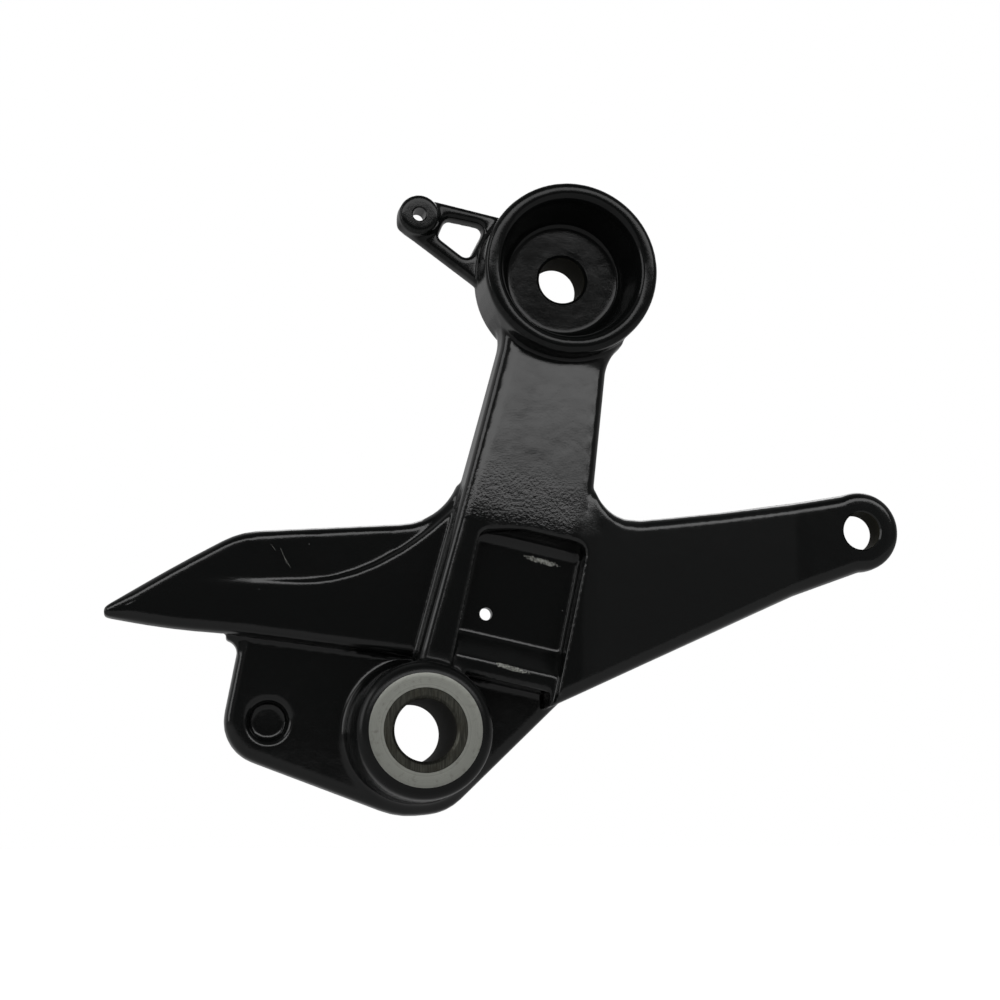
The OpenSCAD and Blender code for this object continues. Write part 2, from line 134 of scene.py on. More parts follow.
def revolved(profile, centre, around=160):
    """A closed surface of revolution about an axis that runs towards the viewer.

    Point (i, j) is centre + radius_i * (cos a_j, sin a_j), at level_i, with a_j the j-th of equal angles.
    The profile is a closed ring of (radius, level) pairs in millimetres, so the surface is a torus of quads.
    """
    ring = np.array(profile, float)
    a = np.linspace(0, 2 * np.pi, around, endpoint=False)
    r, level = ring[:, 0][:, None], ring[:, 1][:, None]
    depth = np.broadcast_to(-level - FACE, (len(ring), around))
    points = np.stack([centre[0] + r * np.cos(a), depth, centre[1] + r * np.sin(a)], -1)
    i, j = np.meshgrid(np.arange(len(ring)), np.arange(around), indexing="ij")
    up, right = (i + 1) % len(ring), (j + 1) % around
    quads = np.stack([i * around + j, up * around + j, up * around + right, i * around + right], -1)
    return points.reshape(-1, 3) * MM, quads.reshape(-1, 4)


def lathe_plug(profile, centre, around=160):
    """A closed solid of revolution whose profile starts and ends on the axis.

    It is the grid of revolved, with one point at each end of the axis that a fan of triangles closes.
    """
    ring = np.array(profile, float)
    a = np.linspace(0, 2 * np.pi, around, endpoint=False)
    inner = ring[1:-1]
    points = np.stack(
        [
            centre[0] + inner[:, :1] * np.cos(a),
            np.broadcast_to(-inner[:, 1:] - FACE, (len(inner), around)),
            centre[1] + inner[:, :1] * np.sin(a),
        ],
        -1,
    ).reshape(-1, 3)
    ends = np.array([[centre[0], -ring[k, 1] - FACE, centre[1]] for k in (0, -1)])
    n = len(points)
    i, j = np.meshgrid(np.arange(len(inner) - 1), np.arange(around), indexing="ij")
    right = (j + 1) % around
    quads = np.stack(
        [i * around + j, (i + 1) * around + j, (i + 1) * around + right, i * around + right], -1
    ).reshape(-1, 4)
    k = np.arange(around)
    far = (len(inner) - 1) * around
    fan_0 = np.stack([np.full(around, n), k, (k + 1) % around], -1)
    fan_1 = np.stack([np.full(around, n + 1), far + (k + 1) % around, far + k], -1)
    return np.vstack([points, ends]) * MM, [*quads.tolist(), *fan_0.tolist(), *fan_1.tolist()]


def make_mesh(name, points, faces):
    """A mesh of points and faces, with its normals turned outwards."""
    mesh = bpy.data.meshes.new(name)
    mesh.from_pydata(np.asarray(points).tolist(), [], faces if isinstance(faces, list) else faces.tolist())
    solid = bmesh.new()
    solid.from_mesh(mesh)
    bmesh.ops.recalc_face_normals(solid, faces=solid.faces)
    solid.to_mesh(mesh)
    solid.free()
    mesh.update()
    return mesh


def make_object(name, mesh):
    made = bpy.data.objects.new(name, mesh)
    bpy.context.scene.collection.objects.link(made)
    return made


def finished_mesh(obj):
    """The mesh that the object's modifiers give, as a new mesh."""
    bpy.context.view_layer.update()
    graph = bpy.context.evaluated_depsgraph_get()
    return bpy.data.meshes.new_from_object(obj.evaluated_get(graph), depsgraph=graph)


def drop(*objects):
    for obj in objects:
        mesh = obj.data
        bpy.data.objects.remove(obj)
        bpy.data.meshes.remove(mesh)


def vertex_places(mesh):
    places = np.zeros(len(mesh.vertices) * 3, np.float32)
    mesh.vertices.foreach_get("co", places)
    return places.reshape(-1, 3).astype(float)


def neighbour_mean(edges, count, values):
    """Mean of each vertex's neighbours: the sum over its edges, divided by their number."""
    a, b = edges[:, 0], edges[:, 1]
    number = np.bincount(a, minlength=count) + np.bincount(b, minlength=count)
    total = np.stack(
        [
            np.bincount(a, values[b, k], minlength=count) + np.bincount(b, values[a, k], minlength=count)
            for k in range(values.shape[1])
        ],
        -1,
    )
    return total / np.maximum(number, 1)[:, None]


def edge_pairs(mesh):
    pairs = np.zeros(len(mesh.edges) * 2, np.int32)
    mesh.edges.foreach_get("vertices", pairs)
    return pairs.reshape(-1, 2)


def soften(mesh, rounds):
    """Averages the skin: each round moves every vertex half of the way to its neighbours' mean."""
    places, edges = vertex_places(mesh), edge_pairs(mesh)
    for _ in range(rounds):
        places += 0.5 * (neighbour_mean(edges, len(places), places) - places)
    mesh.vertices.foreach_set("co", places.astype(np.float32).ravel())
    mesh.update()


def store_edges(mesh, rounds=3):
    """Stores how convex the skin is, as the attribute edge.

    Along each mesh edge the bend is the change of normal over the change of place. A vertex keeps the mean
    bend of its edges, averaged with its neighbours' and scaled so that a 2 mm rounding gives about 1.
    """
    places, edges = vertex_places(mesh), edge_pairs(mesh)
    normals = np.zeros(len(places) * 3, np.float32)
    mesh.vertex_normals.foreach_get("vector", normals)
    normals = normals.reshape(-1, 3)
    a, b = edges[:, 0], edges[:, 1]
    way = places[b] - places[a]
    bend = ((normals[b] - normals[a]) * way).sum(1) / np.maximum((way * way).sum(1), 1e-10)
    count = len(places)
    number = np.maximum(np.bincount(a, minlength=count) + np.bincount(b, minlength=count), 1)
    total = np.bincount(a, bend, minlength=count) + np.bincount(b, bend, minlength=count)
    value = (total / number)[:, None]
    for _ in range(rounds):
        value = 0.5 * value + 0.5 * neighbour_mean(edges, count, value)
    kept = mesh.attributes.new("edge", "FLOAT", "POINT")
    kept.data.foreach_set("value", np.clip(value[:, 0] * 2 * MM, -2, 2).astype(np.float32))


# ---- shader nodes ----


class Nodes:
    """Adds nodes to a tree, each call giving back the output socket of the node that it made."""

    def __init__(self, tree):
        self.tree = tree

    def add(self, kind, inputs=(), out=0, **settings):
        made = self.tree.nodes.new(kind)
        for key, value in settings.items():
            setattr(made, key, value)
        for key, value in dict(inputs).items():
            if isinstance(value, bpy.types.NodeSocket):
                self.tree.links.new(value, made.inputs[key])
            else:
                made.inputs[key].default_value = value
        return made.outputs[out]

    def math(self, operation, a, b=0.0, c=0.0):
        return self.add("ShaderNodeMath", {0: a, 1: b, 2: c}, operation=operation)

    def vector(self, operation, a, b=(0.0, 0.0, 0.0), out="Vector"):
        return self.add("ShaderNodeVectorMath", {0: a, 1: b}, out=out, operation=operation)

    def step(self, value, low, high):
        """0 below low, 1 above high, smooth between; low may be the greater of the two."""
        return self.add(
            "ShaderNodeMapRange",
            {"Value": value, "From Min": low, "From Max": high},
            interpolation_type="SMOOTHSTEP",
        )

    def colour(self, factor, a, b):
        return self.add("ShaderNodeMix", {0: factor, 6: a, 7: b}, out=2, data_type="RGBA")

    def value(self, factor, a, b):
        return self.add("ShaderNodeMix", {0: factor, 2: a, 3: b}, data_type="FLOAT")


def new_group(name, inputs, outputs):
    """A shader node group with named sockets: inputs are (name, kind, default), outputs (name, kind)."""
    tree = bpy.data.node_groups.new(name, "ShaderNodeTree")
    for label, kind, default in inputs:
        made = tree.interface.new_socket(label, in_out="INPUT", socket_type="NodeSocket" + kind)
        if default is not None:
            made.default_value = default
    for label, kind in outputs:
        tree.interface.new_socket(label, in_out="OUTPUT", socket_type="NodeSocket" + kind)
    return tree, Nodes(tree), tree.nodes.new("NodeGroupInput"), tree.nodes.new("NodeGroupOutput")


def grain_group():
    """Grain of a surface: fine pebbles over broad ripples as one height, and the ripples as a tone."""
    tree, n, given, result = new_group(
        "Surface grain",
        [
            ("Place", "Vector", None),
            ("Pebbles", "Float", 1.0),
            ("Ripples", "Float", 1.0),
            ("Pebble size", "Float", 0.7),
        ],
        [("Height", "Float"), ("Tone", "Float")],
    )
    place = given.outputs["Place"]
    scale = n.math("DIVIDE", 1.0, given.outputs["Pebble size"])
    fine = n.add("ShaderNodeTexNoise", {"Vector": place, "Scale": scale, "Detail": 2.0, "Roughness": 0.6})
    broad = n.add("ShaderNodeTexNoise", {"Vector": place, "Scale": 0.13, "Detail": 2.0})
    height = n.math(
        "ADD",
        n.math("MULTIPLY", fine, given.outputs["Pebbles"]),
        n.math("MULTIPLY", n.math("MULTIPLY", broad, given.outputs["Ripples"]), 3.0),
    )
    tree.links.new(height, result.inputs["Height"])
    tree.links.new(broad, result.inputs["Tone"])
    return tree


def speck_group():
    """Dust specks and pin chips: spots in the cells of a Voronoi pattern, of which a share is kept."""
    tree, n, given, result = new_group(
        "Dust specks",
        [
            ("Place", "Vector", None),
            ("Cell", "Float", 5.0),
            ("Radius", "Float", 0.05),
            ("Share", "Float", 0.4),
        ],
        [("Mask", "Float")],
    )
    scale = n.math("DIVIDE", 1.0, given.outputs["Cell"])
    cell = n.tree.nodes.new("ShaderNodeTexVoronoi")
    tree.links.new(given.outputs["Place"], cell.inputs["Vector"])
    tree.links.new(scale, cell.inputs["Scale"])
    near = n.math("LESS_THAN", cell.outputs["Distance"], given.outputs["Radius"])
    pick = n.add("ShaderNodeSeparateColor", {0: cell.outputs["Color"]})
    kept = n.math("LESS_THAN", pick, given.outputs["Share"])
    tree.links.new(n.math("MULTIPLY", near, kept), result.inputs["Mask"])
    return tree


def stroke_group():
    """A scratch or rub: a ragged stroke about a place, longer along its own direction than across it.

    The mask is 1 where (along / half length)^2 + (across / half width)^2, with a noise added, stays below 1,
    and it fades out 5 to 6 mm in front of and behind the place.
    """
    tree, n, given, result = new_group(
        "Stroke",
        [
            ("Place", "Vector", None),
            ("Centre", "Vector", (0.0, 0.0, 0.0)),
            ("Turn", "Float", 0.0),
            ("Half length", "Float", 4.0),
            ("Half width", "Float", 0.4),
            ("Ragged", "Float", 0.5),
        ],
        [("Mask", "Float")],
    )
    moved = n.vector("SUBTRACT", given.outputs["Place"], given.outputs["Centre"])
    turned = n.add(
        "ShaderNodeVectorRotate",
        {"Vector": moved, "Axis": (0.0, 1.0, 0.0), "Angle": given.outputs["Turn"]},
        rotation_type="AXIS_ANGLE",
    )
    apart = n.tree.nodes.new("ShaderNodeSeparateXYZ")
    tree.links.new(turned, apart.inputs[0])
    ragged = n.add("ShaderNodeTexNoise", {"Vector": given.outputs["Place"], "Scale": 1.7, "Detail": 3.0})
    along = n.math("POWER", n.math("DIVIDE", apart.outputs["X"], given.outputs["Half length"]), 2.0)
    across = n.math("POWER", n.math("DIVIDE", apart.outputs["Z"], given.outputs["Half width"]), 2.0)
    swing = n.math("MULTIPLY", given.outputs["Ragged"], 4.0)
    rough_edge = n.math("MULTIPLY", n.math("SUBTRACT", ragged, 0.5), swing)
    far = n.math("ADD", n.math("ADD", along, across), rough_edge)
    depth = n.math("ABSOLUTE", apart.outputs["Y"])
    near = n.step(depth, 6.0, 5.0)
    tree.links.new(n.math("MULTIPLY", n.step(far, 1.25, 0.8), near), result.inputs["Mask"])
    return tree


def place_in_mm(n):
    """The place on the object in millimetres, for patterns that keep their real size."""
    coordinates = n.tree.nodes.new("ShaderNodeTexCoord")
    made = n.tree.nodes.new("ShaderNodeVectorMath")
    made.operation = "SCALE"
    n.tree.links.new(coordinates.outputs["Object"], made.inputs[0])
    made.inputs["Scale"].default_value = 1 / MM
    return made.outputs[0]


def group_node(n, tree, inputs):
    """A node of the group, with values set or sockets linked by the names of its inputs."""
    made = n.tree.nodes.new("ShaderNodeGroup")
    made.node_tree = tree
    for key, value in inputs.items():
        if isinstance(value, bpy.types.NodeSocket):
            n.tree.links.new(value, made.inputs[key])
        else:
            made.inputs[key].default_value = value
    return made


def radius_about(n, place, centre):
    """Distance from an axis that runs towards the viewer through (x, z)."""
    moved = n.vector("SUBTRACT", place, (centre[0], 0.0, centre[1]))
    return n.vector("LENGTH", n.vector("MULTIPLY", moved, (1.0, 0.0, 1.0)), out="Value")


def bore_wall(n, place, centre, radius):
    """1 on the wall of a bore, up to its eased mouth."""
    return n.step(radius_about(n, place, centre), radius + 0.12, radius + 0.04)


def fine_bump(n, height):
    """The normal that a height in millimetres gives."""
    inputs = {"Height": n.math("MULTIPLY", height, MM), "Distance": 1.0, "Strength": 1.0}
    return n.add("ShaderNodeBump", inputs, out="Normal")


def new_material(name):
    made = bpy.data.materials.new(name)
    made.use_nodes = True
    made.node_tree.nodes.clear()
    n = Nodes(made.node_tree)
    shader = made.node_tree.nodes.new("ShaderNodeBsdfPrincipled")
    output = made.node_tree.nodes.new("ShaderNodeOutputMaterial")
    made.node_tree.links.new(shader.outputs[0], output.inputs["Surface"])
    return made, n, shader


# Rubs and scratches: place (x, z), turn in degrees, half length, half width
POCKET_RUBS = [((34.8, 48.5), -14.5, 4.3, 0.72), ((25.3, 17.6), -14.5, 4.6, 0.6)]
WING_SCRATCHES = [
    ((-38.0, 48.6), -66, 2.6, 0.09),
    ((-36.8, 46.6), -60, 1.6, 0.07),
    ((-41.0, 51.0), -52, 1.2, 0.06),
]


def marks_mask(n, place, strokes, marks, level, ragged):
    """1 on any of the marks, all of which lie near one level."""
    masks = [
        group_node(n, strokes, {
            "Place": place, "Centre": (px, -level - FACE, pz), "Turn": math.radians(turn),
            "Half length": length, "Half width": width, "Ragged": ragged,
        }).outputs[0]
        for (px, pz), turn, length, width in marks
    ]
    mask = masks[0]
    for other in masks[1:]:
        mask = n.math("MAXIMUM", mask, other)
    return mask


def paint_material(colours, grain, specks, strokes):
    """Satin black paint over a casting, with the bare machined ring, worn edges, rubs, scratches and dust."""
    made, n, shader = new_material("hanger_paint")
    link = made.node_tree.links.new
    place = place_in_mm(n)
    apart = made.node_tree.nodes.new("ShaderNodeSeparateXYZ")
    link(place, apart.inputs[0])
    x, z = apart.outputs["X"], apart.outputs["Z"]
    depth = n.math("ADD", apart.outputs["Y"], FACE)

    # The lower end of the neck's face has the coarsest grain
    across_way, up_way = in_block(1, 0), in_block(0, 1)
    across = n.math("ADD", n.math("MULTIPLY", x, across_way[0]), n.math("MULTIPLY", z, across_way[1]))
    up = n.math("ADD", n.math("MULTIPLY", x, up_way[0]), n.math("MULTIPLY", z, up_way[1]))
    coarse = n.math("MULTIPLY", n.step(up, 82.0, 66.0), n.step(depth, 12.5, 11.0))
    coarse = n.math("MULTIPLY", coarse, n.step(up, 60.0, 61.5))
    coarse = n.math("MULTIPLY", coarse, n.step(across, 33.0, 27.0))
    skin = group_node(n, grain, {"Place": place, "Pebbles": 0.32, "Ripples": 0.6, "Pebble size": 0.45})
    rough_skin = group_node(n, grain, {"Place": place, "Pebbles": 2.6, "Ripples": 0.0, "Pebble size": 0.85})
    rough_height = n.math("MULTIPLY", rough_skin.outputs["Height"], coarse)

    # The machined ring is bare at both ends of the boss, and the walls of the bolt holes are dull and tinted
    # olive as a painted reflection
    from_pivot = radius_about(n, place, (0.0, 0.0))
    ring_front = n.math("MULTIPLY", n.step(from_pivot, 15.56, 15.5), n.step(depth, 0.32, 0.26))
    ring_back = n.math("MULTIPLY", n.step(from_pivot, 17.3, 17.24), n.step(depth, 36.3, 36.4))
    ring = n.math("MAXIMUM", ring_front, ring_back)
    walls = n.math("MAXIMUM", bore_wall(n, place, CUP, 6.75), bore_wall(n, place, LUG, 5.5))

    # The paint is flatter on the boss's shoulder, on the cup and on the ear
    shoulder = n.math("MULTIPLY", n.step(from_pivot, 23.0, 21.0), n.step(depth, 14.0, 10.0))
    on_cup = n.step(radius_about(n, place, CUP), 26.5, 25.6)
    on_ear = n.step(radius_about(n, place, EAR), 22.0, 16.0)
    upper = n.math("MAXIMUM", on_cup, on_ear)
    flatter = n.math("MAXIMUM", n.math("MULTIPLY", shoulder, 1.4), upper)

    # Bare rubs and scratches, rubbed edges and dust, and pin chips that crowd along the pocket's left edge
    scratches = marks_mask(n, place, strokes, WING_SCRATCHES, -17.0, 0.35)
    rubs = marks_mask(n, place, strokes, POCKET_RUBS, -12.0, 0.9)
    rubs = n.math("MAXIMUM", rubs, n.math("MULTIPLY", scratches, 0.35))
    mottle = n.add("ShaderNodeTexNoise", {"Vector": place, "Scale": 3.2, "Detail": 3.0, "Roughness": 0.6})
    rubs = n.math("MULTIPLY", rubs, n.step(mottle, 0.36, 0.60))
    edge = made.node_tree.nodes.new("ShaderNodeAttribute")
    edge.attribute_name = "edge"
    worn = n.add("ShaderNodeTexNoise", {"Vector": place, "Scale": 0.9, "Detail": 4.0, "Roughness": 0.65})
    rubbed = n.math("MULTIPLY", n.step(edge.outputs["Fac"], 0.35, 1.1), n.step(worn, 0.42, 0.62))
    dust = group_node(n, specks, {"Place": place, "Cell": 4.5, "Radius": 0.03, "Share": 0.22}).outputs[0]
    crowd = group_node(n, specks, {"Place": place, "Cell": 0.8, "Radius": 0.24, "Share": 0.55}).outputs[0]
    beside = n.step(n.math("ABSOLUTE", n.math("SUBTRACT", across, 4.3)), 0.9, 0.5)
    along = n.math("MULTIPLY", n.step(up, 26.0, 32.0), n.step(up, 48.0, 42.0))
    crowd = n.math("MULTIPLY", crowd, n.math("MULTIPLY", beside, along))
    dust = n.math("MAXIMUM", dust, crowd)

    metal = n.math("MAXIMUM", ring, rubs)
    tone = n.step(skin.outputs["Tone"], 0.3, 0.7)
    paint = [*colours.paint, 1]
    darker = [0.8 * c for c in colours.paint] + [1]
    coat = n.colour(tone, paint, darker)
    coat = n.colour(n.math("MULTIPLY", rubbed, 0.35), coat, [*colours.rubbed, 1])
    # The bolt-hole walls take an olive colour that is a painted reflection
    coat = n.colour(n.math("MULTIPLY", walls, 0.9), coat, BORE_OLIVE_PAINTED_REFLECTION)
    coat = n.colour(dust, coat, DUST_GREY)

    # Turning marks: fine rings about the pivot, uneven along the radius
    outward = n.add("ShaderNodeCombineXYZ", {0: from_pivot, 1: 0.0, 2: 0.0})
    lines = n.add("ShaderNodeTexNoise", {"Vector": outward, "Scale": 5.5, "Detail": 3.0, "Roughness": 0.7})
    cloud = n.add("ShaderNodeTexNoise", {"Vector": place, "Scale": 0.5, "Detail": 4.0, "Roughness": 0.7})
    bright = [*colours.metal, 1]
    dull = [0.62 * c for c in colours.metal] + [1]
    bare = n.colour(n.step(lines, 0.35, 0.65), dull, bright)
    bare = n.colour(n.math("MULTIPLY", n.step(cloud, 0.5, 0.75), 0.5), bare, RING_STAIN)
    link(n.colour(metal, coat, bare), shader.inputs["Base Color"])
    link(n.value(metal, 0.0, n.value(ring, 0.75, 1.0)), shader.inputs["Metallic"])
    satin = n.math("ADD", 0.11, n.math("MULTIPLY", skin.outputs["Tone"], 0.07))
    satin = n.math("ADD", satin, n.math("MULTIPLY", rubbed, 0.08))
    satin = n.math("ADD", satin, n.math("MULTIPLY", dust, 0.3))
    satin = n.math("ADD", satin, n.math("MULTIPLY", shoulder, 0.12))
    satin = n.value(walls, satin, 0.85)
    brushed = n.math("ADD", 0.32, n.math("MULTIPLY", cloud, 0.18))
    link(n.value(metal, satin, brushed), shader.inputs["Roughness"])
    link(n.value(walls, n.value(flatter, 0.5, 0.29), 0.12), shader.inputs["Specular IOR Level"])

    paint_height = n.math("MULTIPLY", n.math("ADD", skin.outputs["Height"], rough_height), 0.045)
    ring_height = n.math("MULTIPLY", lines, 0.030)
    height = n.value(metal, paint_height, ring_height)
    height = n.math("ADD", height, n.math("MULTIPLY", metal, -0.03))
    link(fine_bump(n, height), shader.inputs["Normal"])
    return made


def bush_material(colours, grain, specks):
    """Dark ground steel: upright grinding lines, dull stains and dust, and a bore that is darker still."""
    made, n, shader = new_material("bush_ground_steel")
    link = made.node_tree.links.new
    place = place_in_mm(n)
    stretched = n.vector("MULTIPLY", place, (4.2, 1.0, 0.22))
    lines = n.add("ShaderNodeTexNoise", {"Vector": stretched, "Scale": 1.0, "Detail": 4.0, "Roughness": 0.65})
    skin = group_node(n, grain, {"Place": place, "Pebbles": 0.4, "Ripples": 0.3, "Pebble size": 0.3})
    stain = n.add("ShaderNodeTexNoise", {"Vector": place, "Scale": 0.35, "Detail": 4.0, "Roughness": 0.6})
    dust = group_node(n, specks, {"Place": place, "Cell": 3.0, "Radius": 0.03, "Share": 0.12}).outputs[0]
    bright = [1.25 * c for c in colours.bush] + [1]
    dull = [0.55 * c for c in colours.bush] + [1]
    steel = n.colour(n.step(lines, 0.35, 0.65), dull, bright)
    steel = n.colour(n.math("MULTIPLY", n.step(stain, 0.5, 0.7), 0.6), steel, BUSH_STAIN)
    steel = n.colour(dust, steel, BUSH_DUST)
    bore = n.step(radius_about(n, place, (0.0, 0.0)), 8.62, 8.54)
    link(n.colour(n.math("MULTIPLY", bore, 0.92), steel, BUSH_BORE), shader.inputs["Base Color"])
    link(n.value(bore, 1.0, 0.3), shader.inputs["Metallic"])
    rough = n.math("ADD", 0.30, n.math("MULTIPLY", stain, 0.25))
    link(n.value(bore, rough, 0.8), shader.inputs["Roughness"])
    link(n.value(bore, 0.5, 0.15), shader.inputs["Specular IOR Level"])
    pebbles = n.math("MULTIPLY", skin.outputs["Height"], 0.006)
    height = n.math("ADD", n.math("MULTIPLY", lines, 0.012), pebbles)
    link(fine_bump(n, height), shader.inputs["Normal"])
    return made


# ---- pieces ----


def merged_copy(node, name):
    """A copy of a CAD node's loose triangles, merged into one closed mesh."""
    mesh = node.data.copy()
    solid = bmesh.new()
    solid.from_mesh(mesh)
    bmesh.ops.remove_doubles(solid, verts=solid.verts, dist=2e-6)
    solid.to_mesh(mesh)
    solid.free()
    mesh.materials.clear()
    return make_object(name, mesh)


def hole_plugs(sizes):
    """Discs that fill the bores while the skin is softened, so that their mouths can be cut sharp later."""
    def disc(centre, d, back, front):
        r = d / MM / 2 + 1.2
        return lathe_plug([(0, back), (r, back), (r, front), (0, front)], centre, 64)

    return [
        disc((0, 0), sizes.bush_d, BOSS_BACK, 0),
        disc(CUP, sizes.cup_bolt_d, -34, -19),
        disc(LUG, sizes.lug_bolt_d, -25, -16),
        disc(EAR, sizes.ear_hole_d, -25, -17),
        disc(DRAIN, sizes.drain_d, -18, -15),
    ]


def bore_cutters(sizes):
    """Cutters for the bores: the bolt holes and the ear hole have an eased mouth at both ends, the drain at
    its front end only, and the bush seat none.
    """
    def drill(centre, d, back, front, ease, ease_back=None):
        r = d / MM / 2
        far = ease if ease_back is None else ease_back
        return lathe_plug(
            [(0, back - 3), (r + far + 3, back - 3), (r + far, back), (r, back + far), (r, front - ease),
             (r + ease, front), (r + ease + 2, front + 2), (0, front + 2)],
            centre,
            128,
        )

    seat, drain = sizes.bush_d / MM / 2, sizes.drain_d / MM / 2
    return [
        lathe_plug([(0, -39), (seat, -39), (seat, 2), (0, 2)], (0, 0), 160),
        drill(CUP, sizes.cup_bolt_d, -34, -19, 0.8, 0.4),
        drill(LUG, sizes.lug_bolt_d, -25, -16, 0.5, 0.4),
        drill(EAR, sizes.ear_hole_d, -25, -17, 0.4, 0.3),
        lathe_plug(
            [(0, -30), (drain, -30), (drain, -15.3), (drain + 0.3, -15), (drain + 0.3, -13), (0, -13)],
            DRAIN,
            96,
        ),
    ]


def joined(name, parts):
    """One mesh object of several point and face lists."""
    points, faces, base = [], [], 0
    for p, f in parts:
        points.append(p)
        faces += [[base + k for k in face] for face in f]
        base += len(p)
    return make_object(name, make_mesh(name, np.vstack(points), faces))


class HANGER_OT_casting(bpy.types.Operator):
    """Build the painted casting from its solid, with soft fillets and sharp machined mouths"""

    bl_idname = "hanger.casting"
    bl_label = "Casting"

    def execute(self, context):
        sizes = context.scene.hanger_sizes
        raw = merged_copy(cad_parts["hanger_casting"], "raw")
        plugs = joined("plugs", hole_plugs(sizes))
        both = bmesh.new()
        both.from_mesh(raw.data)
        both.from_mesh(plugs.data)
        both.to_mesh(raw.data)
        both.free()
        remesh = raw.modifiers.new("skin", "REMESH")
        remesh.mode = "VOXEL"
        remesh.voxel_size = sizes.grid
        skin = finished_mesh(raw)
        drop(raw, plugs)
        soften(skin, sizes.rounds)
        soft = make_object("soft", skin)
        fewer = soft.modifiers.new("fewer", "DECIMATE")
        fewer.ratio = sizes.faces_kept
        thin = finished_mesh(soft)
        drop(soft)
        store_edges(thin)
        casting = make_object("casting_skin", thin)
        cutters = joined("cutters", bore_cutters(sizes))
        cut = casting.modifiers.new("bores", "BOOLEAN")
        cut.operation = "DIFFERENCE"
        cut.solver = "EXACT"
        cut.object = cutters
        final = finished_mesh(casting)
        drop(casting, cutters)
        final.name = "painted_casting"
        final.shade_smooth()
        final.set_sharp_from_angle(angle=math.radians(38))
        piece = make_object("painted_casting", final)
        final.materials.clear()
        final.materials.append(bpy.data.materials["hanger_paint"])
        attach(piece, "root")
        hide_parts("hanger_casting")
        print("casting triangles", sum(len(p.vertices) - 2 for p in final.polygons))
        return {"FINISHED"}


class HANGER_OT_bush(bpy.types.Operator):
    """Build the pivot bush with its chamfered mouths"""

    bl_idname = "hanger.bush"
    bl_label = "Pivot bush"

    def execute(self, context):
        ease, mouth, bore, outer, back = 0.12, 9.3, 8.5, 11.5, BOSS_BACK
        side, rim = outer - 0.04, outer - ease - 0.02
        profile = [
            (bore, -0.8), (bore + 0.06, -0.72), (mouth - 0.06, -0.06), (mouth + 0.04, 0.0),
            (rim, 0.0), (side, -ease), (side, back + ease), (rim, back),
            (mouth + 0.04, back), (mouth - 0.06, back + 0.06), (bore + 0.06, back + 0.72), (bore, back + 0.8),
        ]
        mesh = make_mesh("ground_bush", *revolved(profile, (0, 0), 192))
        mesh.shade_smooth()
        mesh.set_sharp_from_angle(angle=math.radians(25))
        piece = make_object("ground_bush", mesh)
        mesh.materials.append(bpy.data.materials["bush_ground_steel"])
        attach(piece, "root")
        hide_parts("pivot_bush")
        return {"FINISHED"}


class HANGER_OT_finishes(bpy.types.Operator):
    """Make the paint and the bush steel, with their shared grain and wear"""

    bl_idname = "hanger.finishes"
    bl_label = "Finishes"

    def execute(self, context):
        colours = context.scene.hanger_colours
        grain, specks, strokes = grain_group(), speck_group(), stroke_group()
        paint_material(colours, grain, specks, strokes)
        bush_material(colours, grain, specks)
        return {"FINISHED"}


def soft_lamp(name, middle, azimuth, elevation, distance, size, brightness):
    """A softbox that faces the middle, from an azimuth to the right of the front and an elevation above it.

    A flat lamp's power is its brightness times its area times pi, so brightness 1 looks white.
    """
    light = bpy.data.lights.new(name, "AREA")
    light.shape = "RECTANGLE"
    light.size, light.size_y = size
    light.energy = brightness * size[0] * size[1] * math.pi
    lamp = bpy.data.objects.new(name, light)
    bpy.context.scene.collection.objects.link(lamp)
    a, e = math.radians(azimuth), math.radians(elevation)
    way = Vector((math.sin(a) * math.cos(e), -math.cos(a) * math.cos(e), math.sin(e)))
    lamp.location = Vector(middle) + distance * way
    lamp.rotation_mode = "QUATERNION"
    lamp.rotation_quaternion = (-way).to_track_quat("-Z", "Y")
    return lamp


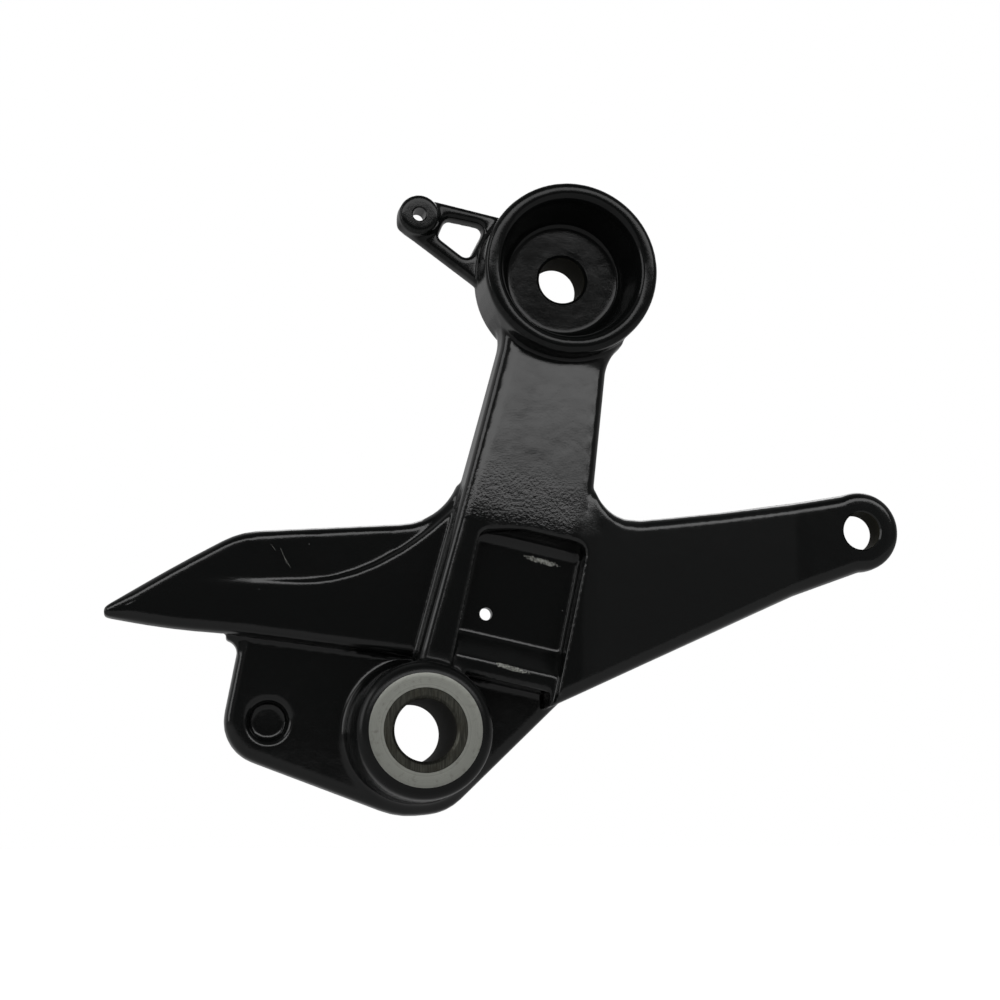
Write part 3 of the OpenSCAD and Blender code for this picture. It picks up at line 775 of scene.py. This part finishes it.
class HANGER_OT_stage(bpy.types.Operator):
    """Build the pale floor, the studio light and the camera"""

    bl_idname = "hanger.stage"
    bl_label = "Stage"

    def execute(self, context):
        scene = context.scene
        scene.view_settings.view_transform = "Standard"
        half, low = 4, -0.11
        corners = [(-half, -half, low), (half, -half, low), (half, half, low), (-half, half, low)]
        floor_mesh = make_mesh("floor", np.array(corners), [[0, 1, 2, 3]])
        floor = make_object("floor", floor_mesh)
        pale, n, shader = new_material("pale_floor")
        shader.inputs["Base Color"].default_value = (0.4, 0.4, 0.4, 1)
        shader.inputs["Roughness"].default_value = 0.9
        shader.inputs["Specular IOR Level"].default_value = 0.0
        seen = pale.node_tree.nodes.new("ShaderNodeLightPath")
        white = n.math("MULTIPLY", seen.outputs["Is Camera Ray"], 0.9)
        shader.inputs["Emission Color"].default_value = (1, 1, 1, 1)
        pale.node_tree.links.new(white, shader.inputs["Emission Strength"])
        floor_mesh.materials.append(pale)

        world = bpy.data.worlds.new("studio")
        scene.world = world
        world.use_nodes = True
        world.node_tree.nodes.clear()
        w = Nodes(world.node_tree)
        ray = world.node_tree.nodes.new("ShaderNodeLightPath")
        way = world.node_tree.nodes.new("ShaderNodeTexCoord")
        apart = world.node_tree.nodes.new("ShaderNodeSeparateXYZ")
        world.node_tree.links.new(way.outputs["Generated"], apart.inputs[0])
        # The room is palest behind the hanger, dim beside it and dark where the camera stands
        behind = w.step(apart.outputs["Y"], -0.35, 0.45)
        beside = w.step(w.math("ABSOLUTE", apart.outputs["X"]), 0.24, 0.46)
        glossy = w.value(behind, w.value(beside, 0.03, 0.12), 0.35)
        strength = w.value(ray.outputs["Is Glossy Ray"], 0.6, glossy)
        straight = w.math("MAXIMUM", ray.outputs["Is Camera Ray"], ray.outputs["Is Transmission Ray"])
        strength = w.value(straight, strength, 1.0)
        out = world.node_tree.nodes.new("ShaderNodeOutputWorld")
        back = world.node_tree.nodes.new("ShaderNodeBackground")
        back.inputs["Color"].default_value = (1, 1, 1, 1)
        world.node_tree.links.new(strength, back.inputs["Strength"])
        world.node_tree.links.new(back.outputs[0], out.inputs["Surface"])

        middle = (0.03, -0.01, 0.06)
        soft_lamp("front_softbox", middle, 6, 26.1, 4.0, (5.76, 1.05), 2.7)
        soft_lamp("left_softbox", middle, -75, 20, 1.2, (0.5, 0.9), 1.8)
        soft_lamp("back_softbox", middle, 160, 40, 1.2, (0.9, 0.6), 2.0)

        lens = bpy.data.cameras.new("camera")
        lens.lens, lens.sensor_width, lens.sensor_fit = 72, 36, "HORIZONTAL"
        lens.clip_start, lens.clip_end = 0.01, 20
        camera = bpy.data.objects.new("camera", lens)
        scene.collection.objects.link(camera)
        camera.location = (-0.07344, -0.55678, -0.02108)
        camera.rotation_mode = "QUATERNION"
        camera.rotation_quaternion = Vector((0.1694, 0.9737, 0.1527)).to_track_quat("-Z", "Y")
        scene.camera = camera
        return {"FINISHED"}


class HANGER_PT_panel(bpy.types.Panel):
    """Lists the hanger's pieces, sizes and colours"""

    bl_idname = "HANGER_PT_panel"
    bl_label = "Footrest hanger"
    bl_space_type = "VIEW_3D"
    bl_region_type = "UI"
    bl_category = "Hanger"

    def draw(self, context):
        for operator in OPERATORS:
            self.layout.operator(operator.bl_idname)
        for group in (context.scene.hanger_sizes, context.scene.hanger_colours):
            for key in group.__annotations__:
                self.layout.prop(group, key)


OPERATORS = [HANGER_OT_finishes, HANGER_OT_casting, HANGER_OT_bush, HANGER_OT_stage]
CLASSES = [HangerSizes, HangerColours, *OPERATORS, HANGER_PT_panel]


def register():
    for kind in CLASSES:
        bpy.utils.register_class(kind)
    bpy.types.Scene.hanger_sizes = bpy.props.PointerProperty(type=HangerSizes)
    bpy.types.Scene.hanger_colours = bpy.props.PointerProperty(type=HangerColours)


def unregister():
    del bpy.types.Scene.hanger_colours
    del bpy.types.Scene.hanger_sizes
    for kind in reversed(CLASSES):
        bpy.utils.unregister_class(kind)


def main():
    register()
    bpy.ops.hanger.finishes()
    bpy.ops.hanger.casting()
    bpy.ops.hanger.bush()
    bpy.ops.hanger.stage()


if __name__ == "__main__":
    main()
